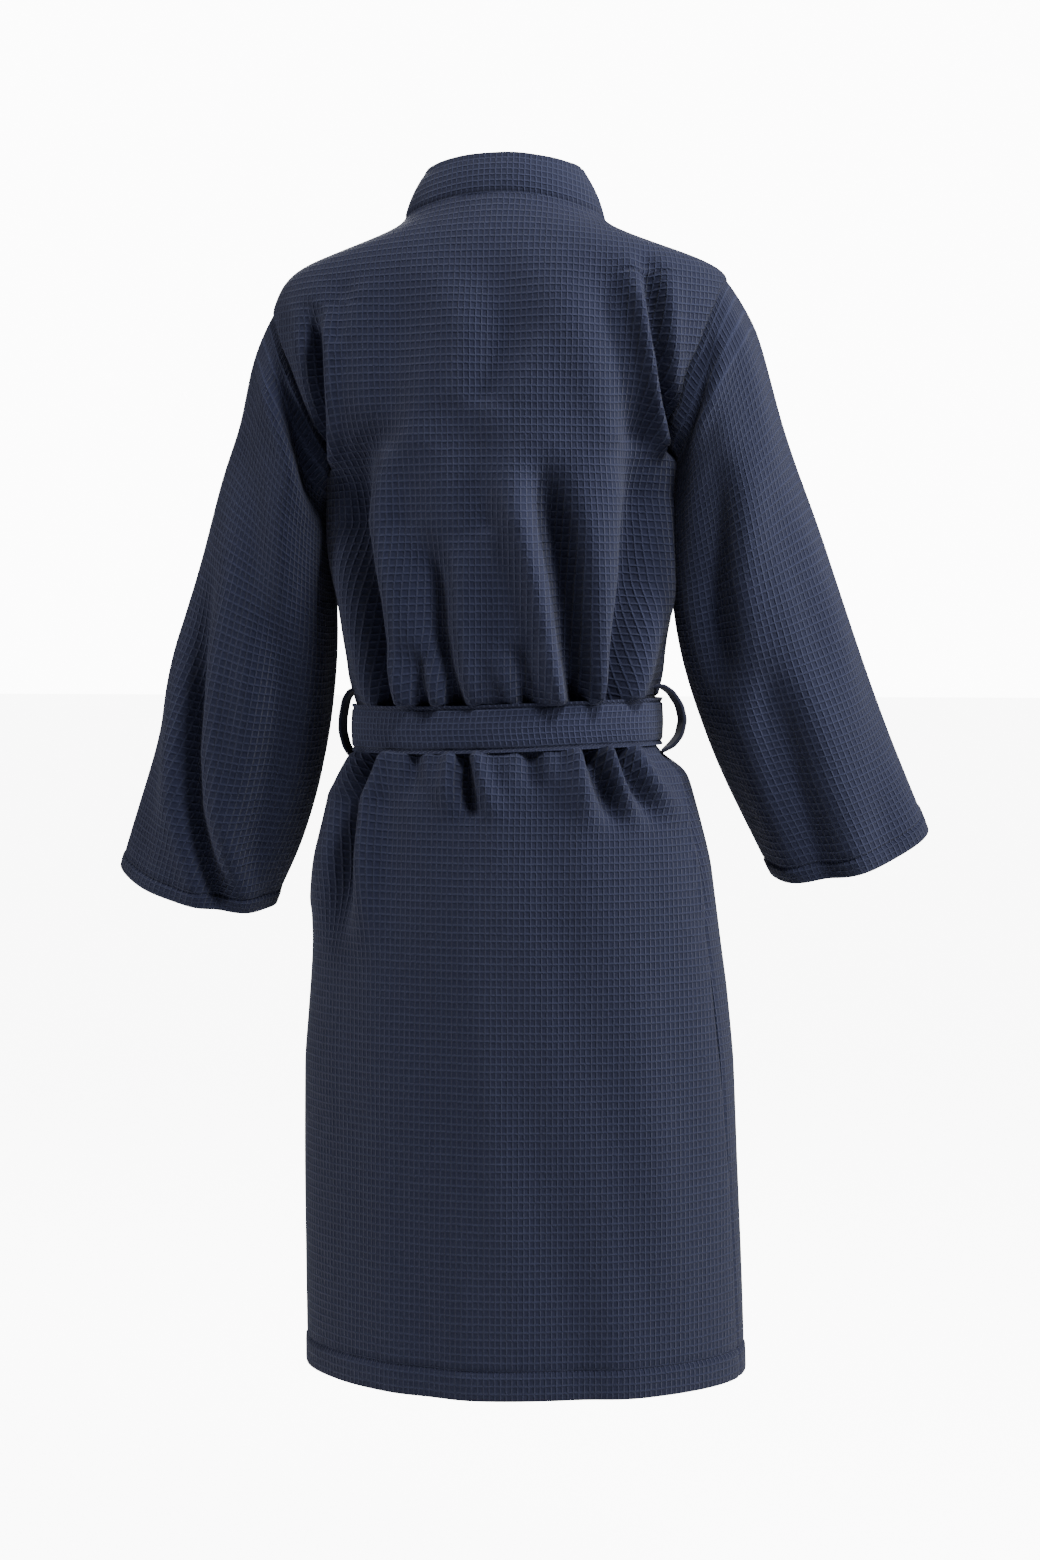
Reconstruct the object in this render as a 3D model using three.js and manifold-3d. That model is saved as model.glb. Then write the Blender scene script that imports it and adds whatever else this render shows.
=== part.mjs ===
// Waffle-weave kimono bathrobe, hung as worn: belt tied at the front, sleeves down.
// Millimetres. +Z up, the wearer faces -Y, the wearer's left is +X.
// The origin is the centre-back neck seam, where the collar meets the back panel.
import * as THREE from "three";
import { mergeVertices } from "three/addons/utils/BufferGeometryUtils.js";
import { RoundedBoxGeometry } from "three/addons/geometries/RoundedBoxGeometry.js";
import Module from "manifold-3d";

// ---- driving dimensions ----
const ROBE_LENGTH = 1050; // neck seam to hem
const HALF_WIDTH = 200; // half the widest part of the body, across
const HALF_DEPTH = 118; // half the deepest part of the body, front to back
const CLOTH = 3.5; // one layer of waffle cloth as it stands, folds included
const GAP = 0.3; // between sewn pieces that stay separate solids
const EDGE_GAP = 0.8; // the same, along the bent edge of the neck band
const COLLAR_HEIGHT = 40; // stand of the folded band behind the neck
const BAND_WIDTH = 55; // folded band down the front edges
const BAND_CLOTH = 4.5; // the band is two layers
const WRAP = 100; // how far each front passes the middle at the waist
const UNDERARM_LENGTH = 402; // armpit to cuff
const SLEEVE_WIDTH = 150; // across the sleeve as it hangs
const SLEEVE_DEPTH = 118; // front to back through the sleeve
const BELT_WIDTH = 42;
const BELT_CLOTH = 4;
const TAIL_LENGTH = 400;
const TAIL_SPREAD = 0.07; // lean of each tail away from the middle, radians
const KNOT = { wide: 60, deep: 34, high: 50, round: 9 };
const BELT_LOOP = { wide: 10, thick: 2.5, rise: 6 };
const POCKET_MOUTH = 150;
const POCKET_SLIT = 9;
const POCKET = { clear: 9, back: 0.14, high: 230, wall: 2, inside: 10 };
const HANGER = { span: 56, drop: 26, wide: 8, thick: 2, corner: 6 };

const BELT_TOP = -0.426 * ROBE_LENGTH;
const BELT_BOTTOM = BELT_TOP - BELT_WIDTH;
const ARMPIT = -0.233 * ROBE_LENGTH;
const MOUTH_TOP = BELT_BOTTOM - BELT_LOOP.rise - 8;

const NAVY = 0x2f3550;

const wasm = await Module();
wasm.setup();

// ---- helpers ----
const { smoothstep, lerp } = THREE.MathUtils;
const point = (x, y, z) => new THREE.Vector3(x, y, z);

// A value that runs straight between [position, value] stations, first to last.
function between(stations) {
  const first = stations[0][0];
  const way = Math.sign(stations.at(-1)[0] - first);
  return (at) => {
    const next = stations.findIndex(([s]) => (s - at) * way >= 0);
    if (next === 0) return stations[0][1];
    if (next < 0) return stations.at(-1)[1];
    const [s1, v1] = stations[next - 1];
    const [s2, v2] = stations[next];
    return lerp(v1, v2, (at - s1) / (s2 - s1));
  };
}

// One closed surface over rows of points; every row is a closed ring of the same length.
// ends: "joined" (the last row meets the first), "disc" (round ends) or "edge" (flat strip ends).
function skin(rows, ends) {
  const n = rows[0].length;
  const points = rows.flat();
  const index = [];
  const quad = (a, b, c, d) => index.push(a, b, c, a, c, d);
  const last = ends === "joined" ? rows.length : rows.length - 1;
  for (let j = 0; j < last; j += 1) {
    const up = (j + 1) % rows.length;
    for (let i = 0; i < n; i += 1) {
      const k = (i + 1) % n;
      quad(j * n + i, j * n + k, up * n + k, up * n + i);
    }
  }
  if (ends === "edge") {
    const top = (rows.length - 1) * n;
    for (let i = 0; i < n / 2 - 1; i += 1) {
      quad(i + 1, i, n - 1 - i, n - 2 - i);
      quad(top + i, top + i + 1, top + n - 2 - i, top + n - 1 - i);
    }
  }
  if (ends === "disc") {
    for (const row of [0, rows.length - 1]) {
      const middle = points.length;
      const sum = rows[row].reduce((total, p) => total.add(p), point(0, 0, 0));
      points.push(sum.divideScalar(n));
      for (let i = 0; i < n; i += 1) {
        const a = row * n + i;
        const b = row * n + ((i + 1) % n);
        index.push(...(row ? [a, b, middle] : [b, a, middle]));
      }
    }
  }
  const geometry = new THREE.BufferGeometry().setFromPoints(points);
  return geometry.setIndex(index);
}

// A manifold solid from a geometry, turned the right way out.
function solid(geometry) {
  const bare = new THREE.BufferGeometry();
  bare.setAttribute("position", geometry.getAttribute("position"));
  bare.setIndex(geometry.index);
  const merged = mergeVertices(bare, 1e-3);
  const vertProperties = merged.attributes.position.array;
  const triVerts = new Uint32Array(merged.index.array);
  const made = new wasm.Manifold(new wasm.Mesh({ numProp: 3, vertProperties, triVerts }));
  if (made.volume() > 0) return made;
  for (let i = 0; i < triVerts.length; i += 3) {
    [triVerts[i + 1], triVerts[i + 2]] = [triVerts[i + 2], triVerts[i + 1]];
  }
  return new wasm.Manifold(new wasm.Mesh({ numProp: 3, vertProperties, triVerts }));
}

function geometryOf(made) {
  const { vertProperties, triVerts } = made.getMesh();
  const geometry = new THREE.BufferGeometry();
  geometry.setAttribute("position", new THREE.BufferAttribute(vertProperties, 3));
  return geometry.setIndex(new THREE.BufferAttribute(triVerts, 1));
}

// The way out of a surface at (u, v).
function outward(surface, u, v) {
  const step = 1e-3;
  const du = surface(Math.min(1, u + step), v).sub(surface(Math.max(0, u - step), v));
  const dv = surface(u, Math.min(1, v + step)).sub(surface(u, Math.max(0, v - step)));
  return du.cross(dv).normalize();
}

// A piece of cloth: the surface and a lining one thickness inside it, closed round the edge.
function cloth(surface, across, along, thickness) {
  const rows = [];
  for (let j = 0; j <= along; j += 1) {
    const face = [];
    const lining = [];
    for (let i = 0; i <= across; i += 1) {
      const u = i / across;
      const v = j / along;
      const p = surface(u, v);
      face.push(p);
      lining.unshift(p.clone().addScaledVector(outward(surface, u, v), -thickness));
    }
    rows.push([...face, ...lining]);
  }
  return solid(skin(rows, "edge"));
}

// Rings of a surface that closes on itself in u.
function rings(surface, around, along, inset) {
  return Array.from({ length: along + 1 }, (_, j) =>
    Array.from({ length: around }, (_, i) => {
      const u = i / around;
      const v = j / along;
      return surface(u, v).addScaledVector(outward(surface, u, v), -inset);
    }),
  );
}

// ---- the body of the robe ----
// [share of the length below the neck, share of the half width, share of the half depth]
const FIGURE = [
  [0, 0.43, 0.52],
  [0.013, 0.49, 0.61],
  [0.03, 0.62, 0.7],
  [0.044, 0.8, 0.75],
  [0.058, 0.93, 0.79],
  [0.077, 1.01, 0.82],
  [0.123, 1.02, 0.89],
  [0.185, 0.92, 0.94],
  [0.231, 0.8, 0.95],
  [0.267, 0.76, 0.94],
  [0.324, 0.75, 0.92],
  [0.38, 0.74, 0.9],
  [0.415, 0.7, 0.83],
  [0.48, 0.7, 0.83],
  [0.525, 0.8, 0.93],
  [0.586, 0.89, 0.98],
  [0.669, 0.93, 0.99],
  [0.76, 0.955, 1],
  [0.88, 0.97, 1.01],
  [1, 0.985, 1.03],
];
const HEIGHTS = FIGURE.map(([drop]) => -drop * ROBE_LENGTH).reverse();
const ROWS = HEIGHTS.length - 1;
const heightAt = between(HEIGHTS.map((z, j) => [j / ROWS, z]));
const halfWidth = between(FIGURE.map(([drop, w]) => [-drop * ROBE_LENGTH, w * HALF_WIDTH]));
const halfDepth = between(FIGURE.map(([drop, , d]) => [-drop * ROBE_LENGTH, d * HALF_DEPTH]));

// A point of the body at an angle from the wearer's left, through the back; out moves it off.
function body(angle, z, out = 0) {
  const across = (halfWidth(z) + out) * Math.cos(angle);
  const deep = (halfDepth(z) + out) * Math.sin(angle);
  return point(across, deep, z);
}
const angleOf = (x, z) => Math.acos(THREE.MathUtils.clamp(x / halfWidth(z), -1, 1));
const seamAngle = (z) => GAP / 2 / halfDepth(z);

// The line where a front panel meets its band, as a distance from the middle, and the band's
// free edge: down the neck, across the chest, then straight to the hem.
const NECK_HALF = 0.42 * HALF_WIDTH;
const panelEdge = (z) =>
  lerp(NECK_HALF, BAND_WIDTH - WRAP, smoothstep(-z, 0.1 * ROBE_LENGTH, 0.45 * ROBE_LENGTH));
const freeEdge = (z) => panelEdge(z) - BAND_WIDTH;

// The right front lies under the left one, so it sinks where the left one covers it.
const UNDER = BAND_CLOTH + 1.5;
function underlap(x, z) {
  return -UNDER * smoothstep(x, freeEdge(z) - 75, freeEdge(z) - 25);
}
function front(side, x, z, out = 0) {
  const sunk = side < 0 ? underlap(x, z) : 0;
  return body(-angleOf(x, z), z, out + sunk);
}

// Runs from the side seam to x = reach * side on one front, in order round the body.
function frontSurface(side, reach, zAt) {
  return (u, v) => {
    const z = zAt(v);
    const from = side < 0 ? Math.PI - seamAngle(z) : angleOf(reach(z), z);
    const to = side < 0 ? angleOf(-reach(z), z) : seamAngle(z);
    const angle = lerp(from, to, u);
    return front(side, halfWidth(z) * Math.cos(angle), z);
  };
}

// ---- sleeves ----
// Rings from inside the armhole to the cuff:
// [share of the underarm, gap off the body, turn of the ring in degrees, share of the width,
//  share of the depth, how far it hangs forward]
const SLEEVE = [
  [-0.05, -26, 81, 1.1, 1.04, 0],
  [0.0, 2, 71, 1.09, 1.06, 0],
  [0.13, 9, 58, 1.0, 1.02, 2],
  [0.26, 9, 36, 0.87, 0.97, 8],
  [0.44, 11, 21, 0.94, 0.97, 14],
  [0.66, 14, 13, 1.04, 1.0, 21],
  [0.84, 16, 14, 1.0, 1.0, 26],
  [1.0, 18, 16, 0.97, 1.0, 30],
];
// Each arm hangs away from the hips by its own slope, from its own height down.
const ARMS = {
  left: { side: 1, slope: 0.3, from: ARMPIT - 0.6 * UNDERARM_LENGTH, shorten: 0.995 },
  right: { side: -1, slope: 0.5, from: ARMPIT - 0.49 * UNDERARM_LENGTH, shorten: 0.93 },
};

function sleeveSurface({ side, slope, from, shorten }) {
  const ring = SLEEVE.map(([share, off, turn, wide, deep, forward]) => {
    const z = ARMPIT - share * UNDERARM_LENGTH * shorten;
    const bodice = Math.min(z, ARMPIT) > BELT_TOP ? halfWidth(z) : halfWidth(BELT_TOP);
    const x = bodice + off + slope * Math.max(0, from - z);
    const lean = THREE.MathUtils.degToRad(turn);
    const reach = wide * SLEEVE_WIDTH;
    return {
      inner: point(side * x, -forward, z),
      outer: point(side * (x + reach * Math.cos(lean)), -forward, z + reach * Math.sin(lean)),
      deep: (deep * SLEEVE_DEPTH) / 2,
    };
  });
  const last = ring.length - 1;
  const at = (key, v) => {
    const k = Math.min(last - 1, Math.floor(v * last));
    return ring[k][key].clone().lerp(ring[k + 1][key], v * last - k);
  };
  const deep = between(ring.map((r, k) => [k / last, r.deep]));
  return (u, v) => {
    const a = at("inner", v);
    const b = at("outer", v);
    const turn = -side * u * 2 * Math.PI;
    const middle = a.clone().add(b).divideScalar(2);
    middle.addScaledVector(b.sub(a), Math.cos(turn) / 2);
    middle.y += deep(v) * Math.sin(turn);
    return middle;
  };
}

// ---- cutting tools ----
const bodySolid = (out) => {
  const rows = HEIGHTS.map((z) =>
    Array.from({ length: 48 }, (_, i) => body((i / 48) * 2 * Math.PI, z, out)),
  );
  return solid(skin(rows, "disc"));
};
function box(x, y, z, centre) {
  const geometry = new THREE.BoxGeometry(x, y, z);
  return solid(geometry.translate(centre.x, centre.y, centre.z));
}

const arms = Object.fromEntries(
  Object.entries(ARMS).map(([name, arm]) => {
    const surface = sleeveSurface(arm);
    const face = rings(surface, 20, 10, 0);
    const lining = rings(surface, 20, 10, CLOTH);
    const tube = solid(skin([...face, ...lining.reverse()], "joined"));
    const bore = solid(skin(lining, "disc"));
    return [name, { sleeve: tube.subtract(bodySolid(1)), bore }];
  }),
);

// ---- panels ----
const backSurface = (u, v) => {
  const z = heightAt(v);
  return body(lerp(seamAngle(z), Math.PI - seamAngle(z), u), z);
};
const slits = [1, -1].map((side) => {
  const middle = MOUTH_TOP - POCKET_MOUTH / 2;
  const x = side * (halfWidth(middle) - 10);
  return box(110, POCKET_SLIT, POCKET_MOUTH, point(x, 0, middle));
});
const openings = (side) => [arms[side > 0 ? "left" : "right"].bore, slits[side > 0 ? 0 : 1]];
const cut = (piece, tools) => tools.reduce((rest, tool) => rest.subtract(tool), piece);

const backPanel = cut(cloth(backSurface, 20, ROWS, CLOTH), [...openings(1), ...openings(-1)]);
const frontPanel = (side) =>
  cut(cloth(frontSurface(side, panelEdge, heightAt), 12, ROWS, CLOTH), openings(side));

// ---- neck band ----
// It stands up behind the neck and turns flat as it runs down the front edges.
const NECK_ANGLE = angleOf(NECK_HALF, 0);
function standing(angle, z, share) {
  const foot = body(angle, z);
  const rim = foot.clone().multiply(point(0.78, 0.82, 1));
  rim.z += COLLAR_HEIGHT;
  return foot.lerp(rim, share);
}
const napeSurface = (u, v) => {
  const angle = lerp(-NECK_ANGLE, Math.PI + NECK_ANGLE, u);
  return standing(angle, GAP, v);
};
function bandSurface(side) {
  return (u, v) => {
    const z = v === 1 ? -GAP : heightAt(v);
    const across = side > 0 ? 1 - u : u;
    const x = side * (panelEdge(z) - EDGE_GAP - across * BAND_WIDTH);
    const flat = front(side, x, z);
    const foot = -angleOf(side * (panelEdge(z) - EDGE_GAP), z);
    const sunk = side < 0 ? underlap(-panelEdge(z), z) : 0;
    const upright = standing(foot, z, across).sub(point(0, sunk, 0));
    upright.y -= GAP;
    return upright.lerp(flat, smoothstep(-z, 0.01 * ROBE_LENGTH, 0.14 * ROBE_LENGTH));
  };
}

// ---- belt ----
const beltLevels = [BELT_TOP, ...HEIGHTS.filter((z) => z < BELT_TOP && z > BELT_BOTTOM), BELT_BOTTOM];
const waistWidth = Math.max(...beltLevels.map(halfWidth));
const waistDepth = Math.max(...beltLevels.map(halfDepth));
function beltRing() {
  const ring = (out, z) =>
    Array.from({ length: 48 }, (_, i) => {
      const angle = (i / 48) * 2 * Math.PI;
      const across = (waistWidth + out) * Math.cos(angle);
      return point(across, (waistDepth + out) * Math.sin(angle), z);
    });
  const inside = 2 * GAP;
  const outside = inside + BELT_CLOTH;
  const rows = [
    ring(inside, BELT_BOTTOM),
    ring(outside, BELT_BOTTOM),
    ring(outside, BELT_TOP),
    ring(inside, BELT_TOP),
  ];
  return solid(skin(rows, "joined"));
}
const KNOT_BACK = -(waistDepth + 3 * GAP + BELT_CLOTH);
const KNOT_MIDDLE = (BELT_TOP + BELT_BOTTOM) / 2;
function knot() {
  const geometry = new RoundedBoxGeometry(KNOT.wide, KNOT.deep, KNOT.high, 2, KNOT.round);
  return solid(geometry.translate(0, KNOT_BACK - KNOT.deep / 2, KNOT_MIDDLE));
}
// The tails hang clear of the skirt from under the knot.
const TAIL_Y = -Math.max(
  halfDepth(-0.9 * ROBE_LENGTH) + 8,
  -KNOT_BACK + KNOT.deep / 2,
);
const TAIL_TOP = KNOT_MIDDLE - KNOT.high / 2 - 1.2;
function tail(side) {
  const geometry = new THREE.BoxGeometry(BELT_WIDTH, BELT_CLOTH, TAIL_LENGTH, 2, 1, 6);
  geometry.translate(0, 0, -TAIL_LENGTH / 2);
  geometry.rotateY(-side * TAIL_SPREAD);
  const inward = (BELT_WIDTH / 2) * Math.sin(TAIL_SPREAD);
  geometry.translate(side * (BELT_WIDTH / 2 + 3), TAIL_Y, TAIL_TOP - inward);
  return solid(geometry);
}
function beltLoop(side, bow) {
  const top = BELT_TOP + BELT_LOOP.rise;
  const bottom = BELT_BOTTOM - BELT_LOOP.rise;
  const reach = (t) => Math.sqrt(Math.max(0, Math.sin(Math.PI * t)));
  const steps = Array.from({ length: 13 }, (_, i) => i / 12);
  const flat = waistWidth + GAP;
  const outer = steps.map((t) => [
    flat + BELT_LOOP.thick + (bow - BELT_LOOP.thick) * reach(t), lerp(top, bottom, t)]);
  const inner = steps.map((t) => [
    flat + (bow - BELT_LOOP.thick) * reach(t),
    lerp(top - BELT_LOOP.thick, bottom + BELT_LOOP.thick, t)]);
  const outline = [[flat, top], ...outer, [flat, bottom], ...inner.reverse()];
  const shape = new THREE.Shape(outline.map(([x, z]) => new THREE.Vector2(side * x, z)));
  return strip(shape, BELT_LOOP.wide, 0);
}
// A flat shape in the X-Z plane, pushed through to both sides of y.
function strip(shape, wide, y) {
  const geometry = new THREE.ExtrudeGeometry(shape, { depth: wide, bevelEnabled: false });
  geometry.rotateX(Math.PI / 2).translate(0, y + wide / 2, 0);
  return solid(geometry);
}

// ---- pockets ----
// A flat bag inside the front, open to the slit in the side seam.
function pocket(side) {
  const top = MOUTH_TOP + 12;
  const bottom = top - POCKET.high;
  const slab = (margin, depth, thickness) => {
    const from = POCKET.back - margin / HALF_DEPTH;
    const [low, high] = [bottom + margin, top - margin];
    const levels = [low, ...HEIGHTS.filter((z) => z > low && z < high), high];
    const rows = levels.length - 1;
    const level = between(levels.map((z, j) => [j / rows, z]));
    const surface = (u, v) => {
      const z = level(v);
      const to = angleOf(WRAP + POCKET.clear + margin, z);
      const share = side < 0 ? u : 1 - u;
      const angle = lerp(-from, to, share);
      const around = side < 0 ? Math.PI + angle : -angle;
      const x = halfWidth(z) * Math.cos(around);
      const sunk = side < 0 && Math.sin(around) < 0 ? underlap(x, z) : 0;
      return body(around, z, sunk - depth);
    };
    return cloth(surface, 7, rows, thickness);
  };
  const behind = CLOTH + 0.75 * UNDER;
  const outer = slab(0, behind, 2 * POCKET.wall + POCKET.inside);
  const inner = slab(POCKET.wall + 1, behind + POCKET.wall, POCKET.inside);
  const middle = MOUTH_TOP - POCKET_MOUTH / 2;
  const steps = Array.from({ length: 6 }, (_, i) => MOUTH_TOP - (POCKET_MOUTH * (i + 0.5)) / 6);
  const mouth = steps.map((z) => {
    const x = side * (halfWidth(z) - behind - POCKET.wall);
    return box(POCKET.inside + 8, POCKET_SLIT, POCKET_MOUTH / 6 + 0.4, point(x, 0, z));
  });
  return cut(outer, [inner, ...mouth]);
}

// ---- hanging loop ----
const HANGER_Y = halfDepth(0) - CLOTH - HANGER.wide / 2 - 7;
const HANGER_TOP = -1;
function hanger() {
  const half = HANGER.span / 2;
  const u = (x, drop, corner) => [
    [-x, HANGER_TOP], [-x, -drop + corner], [-x + corner, -drop],
    [x - corner, -drop], [x, -drop + corner], [x, HANGER_TOP]];
  const inside = u(half - HANGER.thick, HANGER.drop - HANGER.thick, HANGER.corner);
  const outline = [...u(half, HANGER.drop, HANGER.corner), ...inside.reverse()];
  const shape = new THREE.Shape(outline.map(([x, z]) => new THREE.Vector2(x, z)));
  return strip(shape, HANGER.wide, HANGER_Y);
}

// ---- the robe ----
const robe = new THREE.Group();
function add(name, made, shade = NAVY, roughness = 0.95) {
  const material = new THREE.MeshStandardMaterial({ color: shade, roughness, metalness: 0 });
  const mesh = new THREE.Mesh(geometryOf(made), material);
  mesh.name = name;
  robe.add(mesh);
}
add("back_panel", backPanel);
add("front_panel_left", frontPanel(1));
add("front_panel_right", frontPanel(-1));
add("sleeve_left", arms.left.sleeve);
add("sleeve_right", arms.right.sleeve);
add("collar_nape", cloth(napeSurface, 24, 2, BAND_CLOTH), 0x363b52);
add("front_band_left", cloth(bandSurface(1), 5, ROWS, BAND_CLOTH), 0x363b52);
add("front_band_right", cloth(bandSurface(-1), 5, ROWS, BAND_CLOTH), 0x363b52);
add("belt_waist", beltRing(), 0x353a50);
add("belt_knot", knot(), 0x353a50);
add("belt_tail_left", tail(1), 0x353a50);
add("belt_tail_right", tail(-1), 0x353a50);
add("belt_loop_left", beltLoop(1, 14), 0x2b3046);
add("belt_loop_right", beltLoop(-1, 17), 0x2b3046);
add("pocket_bag_left", pocket(1), 0x262a3e);
add("pocket_bag_right", pocket(-1), 0x262a3e);
add("hanging_loop", hanger(), 0x2b3046);
export default robe;
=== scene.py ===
import math

import bmesh
import bpy
import numpy as np
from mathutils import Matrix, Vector


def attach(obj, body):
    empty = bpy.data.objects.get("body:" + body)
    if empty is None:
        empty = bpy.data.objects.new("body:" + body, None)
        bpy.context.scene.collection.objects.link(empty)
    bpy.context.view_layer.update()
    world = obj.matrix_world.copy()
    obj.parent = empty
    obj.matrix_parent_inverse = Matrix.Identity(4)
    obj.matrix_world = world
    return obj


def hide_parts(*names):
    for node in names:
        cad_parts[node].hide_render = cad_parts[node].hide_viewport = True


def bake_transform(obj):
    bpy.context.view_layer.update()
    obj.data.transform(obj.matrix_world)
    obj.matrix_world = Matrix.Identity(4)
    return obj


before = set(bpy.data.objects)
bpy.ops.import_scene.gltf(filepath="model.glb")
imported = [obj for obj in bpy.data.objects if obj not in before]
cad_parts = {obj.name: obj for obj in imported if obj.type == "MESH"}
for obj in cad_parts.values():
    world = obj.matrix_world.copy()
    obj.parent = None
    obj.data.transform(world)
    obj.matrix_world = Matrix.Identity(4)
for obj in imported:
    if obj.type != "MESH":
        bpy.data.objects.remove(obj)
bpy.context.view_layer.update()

# Waffle-weave kimono bathrobe as worn: belt tied at the front, sleeves down.
# Sizes are in millimetres up to the last step, where grid_piece() and stitches() turn them into metres.
# +Z up, the wearer faces -Y, the wearer's left is +X, the origin is the centre-back neck seam.

MM = 0.001
LENGTH = 1054
CLOTH = 1.7
BELT_HIGH = -447
BELT_LOW = -489
BELT_MIDDLE = (BELT_HIGH + BELT_LOW) / 2
BELT_TILT = 0.027  # the belt rides up towards the wearer's right
HEM = 25
CUFF_HEM = 20
CELL = (4.9, 6.7)  # one waffle cell, across and along the cloth


# ---- small maths ----
def step(x, a, b):
    t = np.clip((np.asarray(x, float) - a) / (b - a), 0, 1)
    return t * t * (3 - 2 * t)


def bell(x, middle, width):
    return np.exp(-(((np.asarray(x, float) - middle) / width) ** 2))


def lerp(a, b, t):
    return a + (b - a) * t


def profile(stations, soft=14):
    """A smooth curve through [height, value] stations, softened over that many millimetres."""
    at, value = np.array(sorted(stations), float).T
    fine = np.arange(at[0] - 80, at[-1] + 80, 2.0)
    rough = np.interp(fine, at, value)
    reach = np.arange(-40, 41) * 2.0
    kernel = np.exp(-((reach / soft) ** 2))
    padded = np.pad(rough, 40, mode="edge")
    smooth = np.convolve(padded, kernel / kernel.sum(), mode="valid")
    return lambda z: np.interp(z, fine, smooth)


def unit(v):
    return v / np.maximum(np.linalg.norm(v, axis=-1, keepdims=True), 1e-9)


def normals(p):
    """Unit normals of a grid of points, rows first."""
    return unit(np.cross(np.gradient(p, axis=1), np.gradient(p, axis=0)))


def ripple(a, b, seed, size=90.0):
    """Slow unevenness of hanging cloth, about -1 to 1, longer along b than across a."""
    rng = np.random.default_rng(seed)
    total = np.zeros(np.broadcast(a, b).shape)
    for k in range(7):
        fa = rng.uniform(0.6, 1.9) / size
        fb = rng.uniform(-0.7, 0.7) / (size * 1.8)
        phase = rng.uniform(0, 2 * math.pi)
        total = total + np.sin(2 * math.pi * (fa * a + fb * b) + phase) / (1 + 0.25 * k)
    return total / 3.2


# ---- the figure under the cloth ----
# Heights are levels below the neck seam; widths are from the middle to each side.
LEFT = profile(
    [
        (0, 90), (-10, 98), (-24, 128), (-38, 166), (-52, 192), (-66, 204), (-80, 210), (-100, 216),
        (-130, 215), (-165, 202), (-195, 184), (-225, 164), (-255, 158), (-330, 157),
        (-390, 150), (-425, 143), (-446, 137), (-490, 138), (-510, 146), (-550, 160),
        (-590, 171), (-640, 177), (-700, 181), (-770, 187), (-900, 186), (-1050, 185),
    ],
    10,
)
RIGHT = profile(
    [
        (0, 82), (-10, 94), (-24, 126), (-38, 161), (-52, 188), (-62, 198), (-95, 200),
        (-130, 192), (-160, 176), (-190, 158), (-220, 149), (-255, 147), (-330, 142),
        (-390, 139), (-425, 136), (-446, 134), (-490, 137), (-506, 162), (-545, 172),
        (-590, 184), (-640, 191), (-700, 198), (-770, 204), (-900, 210), (-1050, 217),
    ],
    10,
)
BACK = profile(
    [
        (0, 61), (-14, 73), (-30, 83), (-60, 95), (-100, 104), (-165, 111), (-230, 111),
        (-320, 107), (-390, 105), (-428, 104), (-448, 97), (-484, 97), (-500, 104),
        (-560, 113), (-620, 119), (-800, 124), (-1050, 132),
    ],
)
FRONT = profile(
    [
        (0, 56), (-14, 64), (-30, 74), (-60, 88), (-100, 100), (-165, 108), (-230, 110),
        (-320, 107), (-390, 104), (-425, 103), (-446, 97), (-490, 97), (-512, 103),
        (-560, 110), (-620, 114), (-800, 116), (-1050, 118),
    ],
)


def figure(angle, level, out=0.0):
    """Points round the body: angle 0 is the wearer's left, pi / 2 the back, pi the right."""
    c, s = np.cos(angle), np.sin(angle)
    wide = np.where(c > 0, LEFT(level), RIGHT(level)) + out
    deep = np.where(s > 0, BACK(level), FRONT(level)) + out
    z = level - 15 * c**2 * (1 - step(-level, 0, 110))
    return np.stack([wide * c, deep * s, z], axis=-1)


def angle_at(x, level):
    """The angle, through the back, of the point at x on the body."""
    wide = np.where(x > 0, LEFT(level), RIGHT(level))
    return np.arccos(np.clip(x / wide, -1, 1))


# ---- folds ----
def crease(x, z, path, width, depth, left=0.5, right=0.5, ends=(0.25, 0.3), taper=0.0):
    """A valley along a path of (x, z) points from its top down, with a ridge on each side.

    taper narrows it towards its foot, and a negative one towards its top."""
    px, pz = np.array(path, float).T
    middle = np.interp(z, pz[::-1], px[::-1])
    along = (pz[0] - z) / (pz[0] - pz[-1])
    width = width * (1 - taper * (np.clip(along, 0, 1) - 0.5))
    fade = step(along, -0.12, ends[0]) * (1 - step(along, 1 - ends[1], 1.12))
    q = (x - middle) / width
    shape = -np.exp(-(q**2))
    shape = shape + left * np.exp(-(((q - 1.9) / 1.15) ** 2))
    shape = shape + right * np.exp(-(((q + 1.9) / 1.15) ** 2))
    return depth * fade * shape


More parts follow.
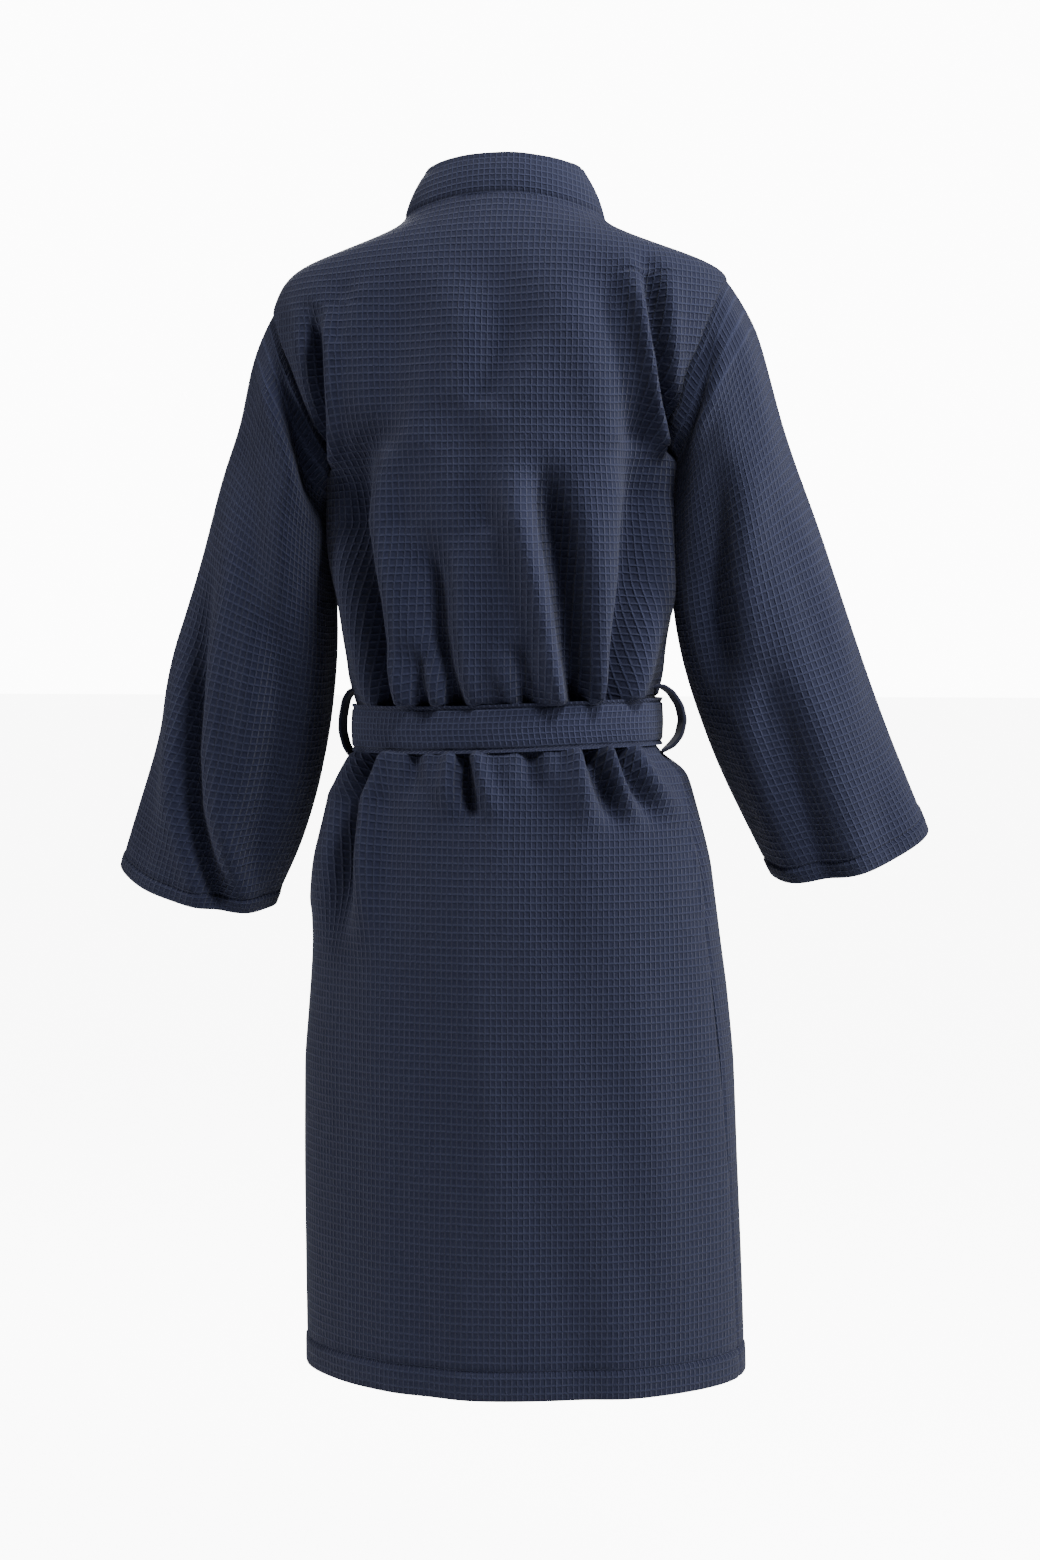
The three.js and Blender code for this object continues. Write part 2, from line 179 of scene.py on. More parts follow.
BACK_FOLDS = [
    # shoulder blades and armholes
    ([(162, -92), (164, -112), (160, -160), (155, -226)], 7.5, 11, 0.2, 0.5),
    ([(137, -72), (139, -124)], 9, 2.5, 0.4, 0.4),
    ([(-129, -64), (-137, -100), (-143, -150), (-146, -220)], 6, 13, 0.6, 0.2),
    ([(11, -54), (-8, -121), (6, -178)], 24, 2.8, 0.5, 0.5),
    ([(-94, -62), (-112, -140), (-122, -216)], 18, 4.2, 0.6, 0.5),
    ([(78, -80), (86, -150), (96, -215)], 22, 2.8, 0.5, 0.5),
    # bodice, running down into the belt
    ([(113, -205), (126, -246), (128, -285), (112, -353), (96, -452)], 13, 15, 0.4, 0.6),
    ([(56, -300), (50, -380), (32, -452)], 12, 9, 0.5, 0.5),
    ([(3, -205), (4, -290)], 20, 3, 0.5, 0.5),
    ([(-42, -240), (-60, -344), (-72, -452)], 12, 16, 0.7, 0.5),
    ([(-122, -205), (-126, -267), (-118, -344), (-98, -452)], 12, 14, 0.4, 0.7),
    ([(-20, -395), (-28, -452)], 8, 5, 0.5, 0.5),
    ([(68, -395), (62, -452)], 8, 5, 0.5, 0.5),
]
SKIRT_FOLDS = [
    ([(108, -484), (130, -530), (137, -584), (144, -660)], 11, 14, 0.5, 0.7),
    ([(28, -484), (20, -548)], 8, 11, 0.6, 0.6),
    ([(-80, -484), (-110, -560)], 9, 12, 0.6, 0.5),
    ([(-102, -484), (-140, -560)], 8, 11, 0.4, 0.6),
    ([(70, -484), (74, -530)], 8, 4, 0.5, 0.5),
    ([(-32, -484), (-36, -525)], 9, 4, 0.5, 0.5),
]
FRONT_FOLDS = [
    ([(118, -205), (120, -330), (96, -452)], 14, 9, 0.5, 0.6),
    ([(74, -330), (62, -452)], 10, 6, 0.5, 0.5),
    ([(-118, -205), (-120, -330), (-98, -452)], 14, 9, 0.6, 0.5),
    ([(-70, -300), (-56, -452)], 11, 7, 0.5, 0.5),
    ([(30, -390), (26, -452)], 8, 4, 0.5, 0.5),
    ([(96, -484), (118, -590)], 11, 8, 0.5, 0.6),
    ([(44, -484), (52, -560)], 9, 5, 0.5, 0.5),
    ([(-90, -484), (-116, -600)], 11, 8, 0.6, 0.5),
    ([(-30, -484), (-38, -560)], 9, 5, 0.5, 0.5),
    ([(136, -150), (146, -235)], 10, 6, 0.5, 0.5),
    ([(-134, -140), (-142, -225)], 10, 6, 0.5, 0.5),
]


def belt_line(x):
    return BELT_MIDDLE - BELT_TILT * x


def drape(angle, level, seed):
    """How far the cloth stands off the figure: folds, slack over the belt, slow ripples."""
    p = figure(angle, level)
    x, z = p[..., 0], p[..., 2]
    behind = step(np.sin(angle), -0.1, 0.12)
    tilted = z + BELT_TILT * x
    off = np.zeros(x.shape)
    for path, width, depth, left, right in BACK_FOLDS:
        off = off + behind * crease(x, tilted, path, width, 1.5 * depth, left, right, (0.3, 0.02), 0.7)
    for path, width, depth, left, right in SKIRT_FOLDS:
        off = off + behind * crease(x, tilted, path, width, 1.5 * depth, left, right, (0.02, 0.5), -0.7)
    for path, width, depth, left, right in FRONT_FOLDS:
        ends = (0.3, 0.02) if path[0][1] > -400 else (0.02, 0.5)
        off = off + (1 - behind) * crease(x, tilted, path, width, 1.3 * depth, left, right, ends)
    off = off + 1.6 * ripple(x, z, seed) * step(-level, 20, 120)
    # long soft flutes open out below the hips
    flute = np.sin(x / 31 + 0.8) * 2.2 + np.sin(x / 17.5 + 2.1) * 0.9
    off = off + flute * step(-level, 620, 900)
    off = off + 1.5 * bell(tilted, BELT_HIGH + 22, 16)
    # the belt presses every ridge flat
    pressed = step(tilted, BELT_LOW - 3, BELT_LOW + 4) * (1 - step(tilted, BELT_HIGH - 4, BELT_HIGH + 3))
    return lerp(off, np.minimum(off, 0.0) * 0.8 - 1.5, pressed)


# ---- meshes from grids of points ----
def grid_piece(name, p, uv, material, thick=CLOTH, closed=False, side=-1.0):
    """A cloth piece on a grid of points in millimetres, rows first, with its flat cut as UV."""
    rows, cols = p.shape[:2]
    bm = bmesh.new()
    bmesh.ops.create_grid(bm, x_segments=cols - 1, y_segments=rows - 1, size=1)
    cut = bm.loops.layers.uv.new("cut")
    place = {}
    for v in bm.verts:
        i = round((v.co.x + 1) / 2 * (cols - 1))
        j = round((v.co.y + 1) / 2 * (rows - 1))
        place[v] = (j, i)
    for face in bm.faces:
        for loop in face.loops:
            loop[cut].uv = uv[place[loop.vert]] * MM
    for v, at in place.items():
        v.co = Vector(p[at]) * MM
    if closed:
        bmesh.ops.remove_doubles(bm, verts=bm.verts, dist=1e-6)
    for face in bm.faces:
        face.smooth = True
    mesh = bpy.data.meshes.new(name)
    bm.to_mesh(mesh)
    bm.free()
    piece = bpy.data.objects.new(name, mesh)
    bpy.context.scene.collection.objects.link(piece)
    piece.data.materials.append(material)
    solid = piece.modifiers.new("thickness", "SOLIDIFY")
    solid.thickness = thick * MM
    solid.offset = side
    solid.use_quality_normals = True
    return piece


def marks(length, spacing, edges=(), fine=(0, 0.8, 2.0, 4.0, 7.0)):
    """Positions along a cut: even spacing, closer at both ends and round each stitched line."""
    even = list(np.linspace(0, length, max(2, int(length / spacing) + 1)))
    close = list(fine) + [length - f for f in fine]
    for edge in edges:
        close += [edge + d for d in (-2.4, -1.1, 0, 1.1, 2.4)]
    keep = sorted(set(round(c, 3) for c in close if 0 <= c <= length))
    rest = [e for e in even if min(abs(e - k) for k in keep) > spacing * 0.35]
    return np.array(sorted(keep + rest))


def stitches(name, path, way, material, pitch=3.4, long=2.5, thick=0.55):
    """A line of thread: one small bead per stitch along a path, standing just off the cloth."""
    path, way = np.asarray(path, float), np.asarray(way, float)
    gone = np.concatenate([[0], np.cumsum(np.linalg.norm(np.diff(path, axis=0), axis=1))])
    at = np.arange(pitch / 2, gone[-1], pitch)
    centre = np.stack([np.interp(at, gone, path[:, k]) for k in range(3)], axis=1)
    ahead = np.stack([np.interp(at + 1, gone, path[:, k]) for k in range(3)], axis=1)
    off = np.stack([np.interp(at, gone, way[:, k]) for k in range(3)], axis=1)
    bm = bmesh.new()
    for c, a, n in zip(centre, ahead, off):
        along = Vector(a - c).normalized()
        up = Vector(n).normalized()
        across = up.cross(along).normalized()
        bead = bmesh.ops.create_icosphere(bm, subdivisions=1, radius=0.5)["verts"]
        for v in bead:
            q = v.co.copy()
            spot = along * q.x * long + across * q.y * thick + up * q.z * thick
            v.co = (Vector(c) + up * 0.12 + spot) * MM
    for face in bm.faces:
        face.smooth = True
    mesh = bpy.data.meshes.new(name)
    bm.to_mesh(mesh)
    bm.free()
    piece = bpy.data.objects.new(name, mesh)
    bpy.context.scene.collection.objects.link(piece)
    piece.data.materials.append(material)
    return piece


# ---- materials ----
def colour(code):
    """An sRGB hex colour as linear RGBA."""
    parts = [int(code[i : i + 2], 16) / 255 for i in (0, 2, 4)]
    linear = [c / 12.92 if c <= 0.04045 else ((c + 0.055) / 1.055) ** 2.4 for c in parts]
    return (*linear, 1.0)


def add(tree, kind, *inputs, **settings):
    """A node with its settings made and its inputs set or linked, in order; None is left."""
    node = tree.nodes.new(kind)
    for key, value in settings.items():
        setattr(node, key, value)
    for socket, value in zip(node.inputs, inputs):
        if value is None:
            continue
        if isinstance(value, bpy.types.NodeSocket):
            tree.links.new(value, socket)
        else:
            socket.default_value = value
    return node


def sums(tree, operation, *values):
    return add(tree, "ShaderNodeMath", *values, operation=operation).outputs[0]


def waffle(name, pit_shade, ridge, cell=CELL, relief=1.5, roughness=0.93):
    """Waffle-weave cotton: raised warp and weft floats round sunk square cells, with painted shade in
    the cells, in the cut's UV.
    """
    material = bpy.data.materials.new(name)
    material.use_nodes = True
    tree = material.node_tree
    shader = tree.nodes["Principled BSDF"]
    uv = add(tree, "ShaderNodeUVMap", uv_map="cut").outputs[0]
    uneven = add(tree, "ShaderNodeTexNoise", uv, None, 60.0, 2.0, 0.5)
    shift = add(tree, "ShaderNodeVectorMath", uneven.outputs["Color"], (0.5, 0.5, 0.5),
                operation="SUBTRACT").outputs[0]
    shift = add(tree, "ShaderNodeVectorMath", shift, (0.0007, 0.0007, 0.0),
                operation="MULTIPLY").outputs[0]
    bent = add(tree, "ShaderNodeVectorMath", uv, shift, operation="ADD").outputs[0]
    split = add(tree, "ShaderNodeSeparateXYZ", bent)
    rise = []
    for axis, size in enumerate(cell):
        turn = sums(tree, "MULTIPLY", split.outputs[axis], 2 * math.pi / (size * MM))
        wave = sums(tree, "COSINE", turn)
        half = sums(tree, "MULTIPLY_ADD", wave, 0.5, 0.5)
        rise.append(sums(tree, "POWER", half, 5.0 if axis else 6.0))
    # the upright floats stand prouder and catch more light than the cross floats; the same height also
    # colours them lighter below, a painted highlight
    cross = sums(tree, "MULTIPLY", rise[1], 0.86)
    high = sums(tree, "MAXIMUM", rise[0], cross)
    # hairs and slubs break up the floats
    slub = add(tree, "ShaderNodeTexNoise", uv, None, 620.0, 2.0, 0.6).outputs[0]
    high = sums(tree, "MULTIPLY", high, sums(tree, "MULTIPLY_ADD", slub, 1.5, 0.2))
    # single yarns lie side by side in every float
    yarn_a = sums(tree, "SINE", sums(tree, "MULTIPLY", split.outputs[0], 2 * math.pi / 0.00072))
    yarn_b = sums(tree, "SINE", sums(tree, "MULTIPLY", split.outputs[1], 2 * math.pi / 0.00081))
    yarn = sums(tree, "MULTIPLY", sums(tree, "ADD", yarn_a, yarn_b), 0.035)
    height = sums(tree, "ADD", high, yarn)
    bump = add(tree, "ShaderNodeBump")
    bump.inputs["Strength"].default_value = 1.0
    bump.inputs["Distance"].default_value = relief * MM
    tree.links.new(height, bump.inputs["Height"])
    tree.links.new(bump.outputs[0], shader.inputs["Normal"])
    # faint washing-out in patches, a little stronger on the raised floats
    worn = add(tree, "ShaderNodeTexNoise", uv, None, 9.0, 3.0, 0.55).outputs[0]
    fade = sums(tree, "MULTIPLY_ADD", worn, 0.36, -0.18)
    shade_and_wear = sums(tree, "ADD", sums(tree, "MULTIPLY", high, 0.92), fade)
    # painted shade: the ramp gives the sunk cells the darker pit colour and the raised floats the
    # lighter ridge colour; the washed-out patches are wear
    ramp = add(tree, "ShaderNodeValToRGB", shade_and_wear)
    ramp.color_ramp.elements[0].color = colour(pit_shade)
    ramp.color_ramp.elements[0].position = 0.05
    ramp.color_ramp.elements[1].color = colour(ridge)
    ramp.color_ramp.elements[1].position = 0.95
    tree.links.new(ramp.outputs[0], shader.inputs["Base Color"])
    shader.inputs["Roughness"].default_value = roughness
    shader.inputs["Specular IOR Level"].default_value = 0.18
    shader.inputs["Sheen Weight"].default_value = 0.06
    shader.inputs["Sheen Roughness"].default_value = 0.5
    shader.inputs["Sheen Tint"].default_value = colour("d5d7e0")
    return material


def plain(name, base, roughness=0.9, sheen=0.2, weave=0.5):
    """Plain-weave cotton tape or thread, in object coordinates."""
    material = bpy.data.materials.new(name)
    material.use_nodes = True
    tree = material.node_tree
    shader = tree.nodes["Principled BSDF"]
    place = add(tree, "ShaderNodeTexCoord").outputs["Object"]
    noise = add(tree, "ShaderNodeTexNoise", place, None, 900.0, 2.0, 0.6).outputs[0]
    bump = add(tree, "ShaderNodeBump")
    bump.inputs["Strength"].default_value = weave
    bump.inputs["Distance"].default_value = 0.2 * MM
    tree.links.new(noise, bump.inputs["Height"])
    tree.links.new(bump.outputs[0], shader.inputs["Normal"])
    shader.inputs["Base Color"].default_value = colour(base)
    shader.inputs["Roughness"].default_value = roughness
    shader.inputs["Specular IOR Level"].default_value = 0.2
    shader.inputs["Sheen Weight"].default_value = sheen
    shader.inputs["Sheen Roughness"].default_value = 0.5
    return material


# one cotton waffle weave: a ridge colour and a darker pit colour each, the pits' darkness being painted
# shade, finer where the cloth is folded double
BODY = waffle("waffle cotton, navy", "191c2f", "272b41")
# the sleeve, band and belt copies have lighter colours than the body's, the belt lightest: painted light
# for parts that catch more light, not a different cloth
SLEEVE = waffle("waffle cotton, navy, sleeves", "191c2f", "282c42")
BAND = waffle("waffle cotton, navy, folded band", "1a1d2f", "2b2f46", cell=(5.1, 5.7), relief=1.2)
BELT = waffle("waffle cotton, navy, belt", "1b1e31", "2d3148", cell=(5.1, 5.3), relief=1.0)
# flat cotton tape of the belt loops and the hanging loop
TAPE = plain("cotton tape, navy", "1a1d2f")
# thin smooth cotton of the pocket bags
LINING = plain("plain-weave pocket cotton, navy", "161929", weave=0.3)
# sewing thread, a little lighter and smoother than the cloth
THREAD = plain("sewing thread, navy", "2a2e46", roughness=0.6, sheen=0.05)


# ---- cut lines ----
# the armholes, from top to low, and how far each reaches in front of and behind the side
ARMHOLE = {
    1: {"top": -94, "low": -240, "deep": 43},
    -1: {"top": -66, "low": -222, "deep": 43},
}
# the ends of the pocket mouths in the side seams
POCKET_HIGH = -512
POCKET_LOW = -641


def armhole_depth(side, level):
    hole = ARMHOLE[side]
    middle = (hole["top"] + hole["low"]) / 2
    half = (hole["top"] - hole["low"]) / 2
    q = np.clip((np.asarray(level, float) - middle) / half, -1, 1)
    return hole["deep"] * np.sqrt(1 - q * q)


def side_seam(side, level):
    """How far behind the side the seam runs, in radians; the right one is pulled further back."""
    if side > 0:
        return 0.03 + 0.05 * step(-level, 430, 520)
    return 0.03 + 0.28 * step(-level, 430, 560) - 0.10 * step(-level, 700, 980)


def edge_angle(side, level, back):
    """Where a panel ends at the side: the armhole's edge, or the side seam below it."""
    deep = BACK(level) if back else FRONT(level)
    arm = np.arcsin(np.clip(armhole_depth(side, level) / deep, 0, 0.95))
    over = step(level, ARMHOLE[side]["top"] - 1, ARMHOLE[side]["top"] + 1)
    seam = side_seam(side, level) * (1 - step(level, -330, -240))
    seam = np.where(level > ARMHOLE[side]["low"], 0, seam)
    return arm * (1 - over) + (seam if back else -seam)


def levels():
    """Levels from hem to neck, even along the cloth, closer at the hem stitching and neck."""
    fine = np.linspace(-LENGTH, 0, 1500)
    p = figure(np.full(fine.shape, math.pi * 0.32), fine)
    gone = np.concatenate([[0], np.cumsum(np.linalg.norm(np.diff(p, axis=0), axis=1))])
    at = marks(gone[-1], 4.4, [HEM], fine=(0, 0.8, 2.5, 5.0))
    centre = figure(np.full(fine.shape, math.pi / 2), fine)
    run = np.concatenate([[0], np.cumsum(np.linalg.norm(np.diff(centre, axis=0), axis=1))])
    level = np.interp(at, gone, fine)
    return level, np.interp(level, fine, run)


LEVEL, RUN = levels()


def hem_relief(level, floor=-LENGTH):
    """The turned-up hem: a second layer's thickness with a groove along its stitching."""
    up = level - floor
    double = 1.2 * (1 - step(up, HEM - 2, HEM + 1.5))
    return double - 1.7 * bell(up, HEM, 1.5) - 0.5 * (1 - step(up, 0, 1.5))


def arc(p, start):
    """Distance along each row, measured from a column."""
    run = np.concatenate(
        [np.zeros((p.shape[0], 1)), np.cumsum(np.linalg.norm(np.diff(p, axis=1), axis=2), axis=1)],
        axis=1,
    )
    return run - run[:, start : start + 1]


def panel(start, stop, spacing, seed, middle, mouths, sink=None):
    """A panel of the body between two angles per level, draped, with its edges drawn in.

    mouths says how far each of its two edges stands off along the pocket openings."""
    wide = float(np.max(np.abs(stop(LEVEL) - start(LEVEL)))) * 130
    across = marks(wide, spacing, fine=(0, 0.9, 2.4, 5.0)) / wide
    begin, end = start(LEVEL)[:, None], stop(LEVEL)[:, None]
    angle = begin + (end - begin) * across[None, :]
    level = np.repeat(LEVEL[:, None], across.size, axis=1)
    base = figure(angle, level)
    # the cut is measured across from the panel's middle line, level by level
    run = arc(base, 0)
    run = run - np.array([[np.interp(middle, row, at)] for row, at in zip(angle, run)])
    uv = np.stack([run, np.repeat(RUN[:, None], across.size, axis=1)], axis=-1)
    out = drape(angle, level, seed) + hem_relief(level)
    if sink is not None:
        out = out - sink(base[..., 0], level)
    gone = np.abs(arc(base, 0))
    left = np.abs(arc(base, across.size - 1))
    out = out - 1.3 * np.exp(-((gone / 2.2) ** 2)) - 1.3 * np.exp(-((left / 2.2) ** 2))
    along = step(base[..., 2], POCKET_LOW - 4, POCKET_LOW + 14)
    along = along * (1 - step(base[..., 2], POCKET_HIGH - 14, POCKET_HIGH + 4))
    out = out + along * (mouths[0] * bell(gone, 0, 12) + mouths[1] * bell(left, 0, 12))
    # the mouth's folded edge is stitched down 7 mm in
    out = out - along * (0.9 * bell(gone, 8, 1.4) * (mouths[0] > 0))
    out = out - along * (0.9 * bell(left, 8, 1.4) * (mouths[1] > 0))
    out = out - 1.2 * bell(base[..., 2], 0, 4) * step(level, -12, -2)
    p = base + normals(base) * out[..., None]
    return p, uv, normals(p)


ROOT = "robe_body"  # the body that carries every piece but the sleeves, tails and hanging loop


def cloth_piece(name, p, uv, material, slot, body, nodes, held, rests_on, thick=CLOTH, **shape):
    """A grid piece with its own flat cut as UV that rides on a body and hides the parts it replaces."""
    piece = grid_piece(name, p, uv, material, thick, **shape)
    if body:
        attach(piece, body)
    if nodes:
        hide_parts(*nodes)
    return piece


def seam_thread(name, points, ways, body, pitch=3.4):
    """Stitches along a seam, riding with their body."""
    piece = stitches(name, points, ways, THREAD, pitch)
    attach(piece, body)


def row_at(grid, values, at):
    """The row of a grid whose value is nearest to at."""
    return grid[int(np.argmin(np.abs(values - at)))]


# ---- back and front panels ----
back_p, back_uv, back_n = panel(
    lambda z: edge_angle(1, z, True),
    lambda z: math.pi - edge_angle(-1, z, True),
    3.2,
    3,
    math.pi / 2,
    (2.5, 2.5),
)
cloth_piece("back_panel_cloth", back_p, back_uv, BODY, "waffle_body", ROOT,
            ["back_panel"], "hung", ["collar_nape_cloth"])

NECK_EDGE = 84  # half the neck opening, where the bands begin


def front_edge(z):
    """Where a front panel meets its band, as a distance from the middle."""
    return lerp(NECK_EDGE, -45, step(-np.asarray(z, float), 105, 472))


def under(x, z):
    """How deep the right front lies under the left one."""
    free = front_edge(z) - 55
    return 5.0 * step(x, free - 70, free - 20)


left_p, left_uv, left_n = panel(
    lambda z: 2 * math.pi - angle_at(front_edge(z), z),
    lambda z: 2 * math.pi - edge_angle(1, z, False),
    4.4,
    11,
    1.75 * math.pi,
    (0, -6),
)
right_p, right_uv, right_n = panel(
    lambda z: math.pi + edge_angle(-1, z, False),
    lambda z: 2 * math.pi - angle_at(-front_edge(z), z),
    4.4,
    12,
    1.25 * math.pi,
    (-6, 0),
    sink=under,
)
cloth_piece("front_panel_left_cloth", left_p, left_uv, BODY, "waffle_body", ROOT,
            ["front_panel_left"], "hung", ["front_band_left_cloth"])
cloth_piece("front_panel_right_cloth", right_p, right_uv, BODY, "waffle_body", ROOT,
            ["front_panel_right"], "hung", ["front_band_right_cloth"])


def bar_tack(name, p, n, column, level):
    """A short row of close stitches across the end of a pocket mouth."""
    row = int(np.argmin(np.abs(LEVEL - level)))
    inward = slice(column, column + 5) if column == 0 else slice(column, column - 5, -1)
    seam_thread(name, p[row, inward], n[row, inward], ROOT, 0.8)


for label, column in (("left", 0), ("right", back_p.shape[1] - 1)):
    bar_tack("bar_tack_low_" + label, back_p, back_n, column, POCKET_LOW)
    bar_tack("bar_tack_high_" + label, back_p, back_n, column, POCKET_HIGH)
for label, p, n in (("back", back_p, back_n), ("left", left_p, left_n), ("right", right_p, right_n)):
    seam_thread("hem_stitching_" + label, row_at(p, LEVEL, HEM - LENGTH),
                row_at(n, LEVEL, HEM - LENGTH), ROOT)


# ---- neck band ----
NECK_ANGLE = math.acos(NECK_EDGE / 90)


def standing(angle, level, share, out=0.0):
    """The band standing up from the neck seam; share runs from the seam to the folded top."""
    foot = figure(angle, level, out)
    rim = foot * np.array([0.78, 0.82, 1.0])
    rise = 43 - 7 * np.sin(angle) ** 2 * (np.sin(angle) > 0)
    rim[..., 2] = rim[..., 2] + rise
    bow = 2.5 * np.sin(share * math.pi)
    p = foot + (rim - foot) * share[..., None]
    p[..., :2] = p[..., :2] + unit(foot[..., :2]) * np.asarray(bow)[..., None]
    return p


def nape():
    """The part of the band that stands up behind the neck."""
    tall = 40
    up = marks(tall, 4, [tall - 5], fine=(0, 0.6, 1.6, 3)) / tall
    wide = 300
    across = marks(wide, 3.6) / wide
    share, turn = np.meshgrid(up, across, indexing="ij")
    angle = -NECK_ANGLE - 0.02 + (math.pi + 2 * NECK_ANGLE + 0.04) * turn
    p = standing(angle, np.zeros(angle.shape), share, 0.6)
    out = 0.5 * ripple(angle * 60, share * 60, 4, 60) - 1.5 * bell(share * tall, 0, 1.8)
    out = out - 0.6 * bell(share * tall, tall - 5, 1.2)
    p = p + normals(p) * out[..., None]
    # the seam allowance turns down inside the panels
    tuck = p[:1] - np.array([0, 0, 7.0])
    tuck[..., :2] = tuck[..., :2] * 0.98
    p = np.concatenate([tuck, p])
    share = np.concatenate([share[:1] - 7 / tall, share])
    uv = np.stack([arc(p, across.size // 2), share * tall], axis=-1)
    cloth_piece("collar_nape_cloth", p, uv, BAND, "waffle_band", ROOT, ["collar_nape"], "folded",
                ["back_panel_cloth"], thick=3.6)
    line = int(np.argmin(np.abs(share[:, 0] * tall - (tall - 5))))
    seam_thread("collar_stitching", p[line], normals(p)[line], ROOT)


def front_band(side, name, seed):
    """The folded band down one front edge, turning flat below the neck."""
    across = marks(55, 4.2, [4], fine=(0, 0.8, 2.0, 4.0)) / 55
    level, share = np.meshgrid(LEVEL, across, indexing="ij")
    seam = front_edge(level) + 2.0
    x = side * (seam - share * 57)
    turn = 2 * math.pi - angle_at(x, level)
    flat = figure(turn, level, 1.2)
    off = drape(turn, level, seed) * 0.75 + hem_relief(level)
    if side < 0:
        off = off - under(x, level)
    foot = 2 * math.pi - angle_at(side * seam, level)
    upright = standing(foot, level, share, 1.2)
    blend = step(-level, 8, 150)[..., None]
    p = upright + (flat - upright) * blend
    way = normals(p)
    if side > 0:
        way = -way
    edge = 0.8 * bell(share * 55, 4, 1.3) + 0.8 * bell(share * 55, 0, 1.2)
    p = p + way * ((off * blend[..., 0]) - edge)[..., None]
    uv = np.stack([share * 55, np.repeat(RUN[:, None], across.size, axis=1)], axis=-1)
    if side > 0:
        p, uv = p[:, ::-1], uv[:, ::-1]
    cloth_piece(name + "_cloth", p, uv, BAND, "waffle_band", ROOT, [name], "folded",
                [name.replace("band", "panel") + "_cloth"], thick=3.6)
    column = int(np.argmin(np.abs(uv[0, :, 0] - 4)))
    seam_thread(name + "_stitching", p[:, column], normals(p)[:, column], ROOT)


nape()
front_band(1, "front_band_left", 11)
front_band(-1, "front_band_right", 12)


# ---- sleeves ----
# Per ring: outer x, z, inner x, z, forward, half depth, tilt of the ring in degrees.
RINGS = {
    1: [
        (215, -96, 155, -240, 0, 50, 0),
        (228, -126, 160, -262, 1, 56, 2),
        (243, -183, 163, -300, 4, 60, 4),
        (265, -258, 163, -345, 9, 60, 6),
        (287, -333, 160, -392, 15, 60, 9),
        (311, -411, 166, -450, 22, 60, 12),
        (334, -490, 176, -515, 30, 59, 14),
        (355, -556, 202, -582, 37, 58, 16),
        (373, -612, 230, -650, 43, 57, 18),
    ],
    -1: [
        (198, -72, 148, -220, 0, 50, 0),
        (222, -110, 154, -244, 1, 56, 2),
        (241, -178, 153, -285, 5, 60, 5),
        (263, -253, 151, -330, 11, 61, 8),
        (288, -328, 153, -374, 18, 61, 12),
        (316, -408, 161, -436, 26, 61, 16),
        (344, -482, 190, -504, 34, 60, 20),
        (366, -532, 222, -567, 41, 58, 23),
        (381, -568, 243, -606, 46, 56, 25),
    ],
}
SLEEVE_FOLDS = {
    1: [
        ([(203, -150), (190, -190), (176, -232), (164, -285)], 8, 16, 0.3, 0.5, (0.25, 0.4)),
        ([(268, -330), (281, -390), (291, -495), (288, -545), (268, -622)], 11, 17, 0.35, 0.5,
         (0.4, 0.05)),
        ([(238, -170), (226, -300), (214, -400)], 17, 4, 0.5, 0.5, (0.3, 0.4)),
        ([(205, -360), (206, -470), (234, -610)], 15, 9, 0.5, 0.3, (0.3, 0.1)),
        ([(326, -450), (336, -560), (340, -610)], 14, 3, 0.5, 0.5, (0.3, 0.1)),
    ],
    -1: [
        ([(-186, -130), (-170, -185), (-152, -238)], 7, 13, 0.4, 0.5, (0.2, 0.4)),
        ([(-196, -225), (-186, -340), (-196, -450)], 15, 12, 0.5, 0.5, (0.3, 0.4)),
        ([(-240, -170), (-258, -300), (-290, -440)], 20, 3, 0.5, 0.5, (0.3, 0.4)),
        ([(-238, -420), (-260, -520), (-290, -615)], 17, 9, 0.5, 0.5, (0.3, 0.1)),
        ([(-315, -400), (-335, -500), (-345, -590)], 15, 3, 0.5, 0.5, (0.3, 0.1)),
    ],
}
FRONT_SLEEVE_FOLDS = [
    ([(230, -160), (250, -330), (300, -600)], 17, 6, 0.5, 0.5, (0.3, 0.1)),
    ([(190, -250), (200, -380), (240, -600)], 15, 6, 0.5, 0.5, (0.3, 0.1)),
]


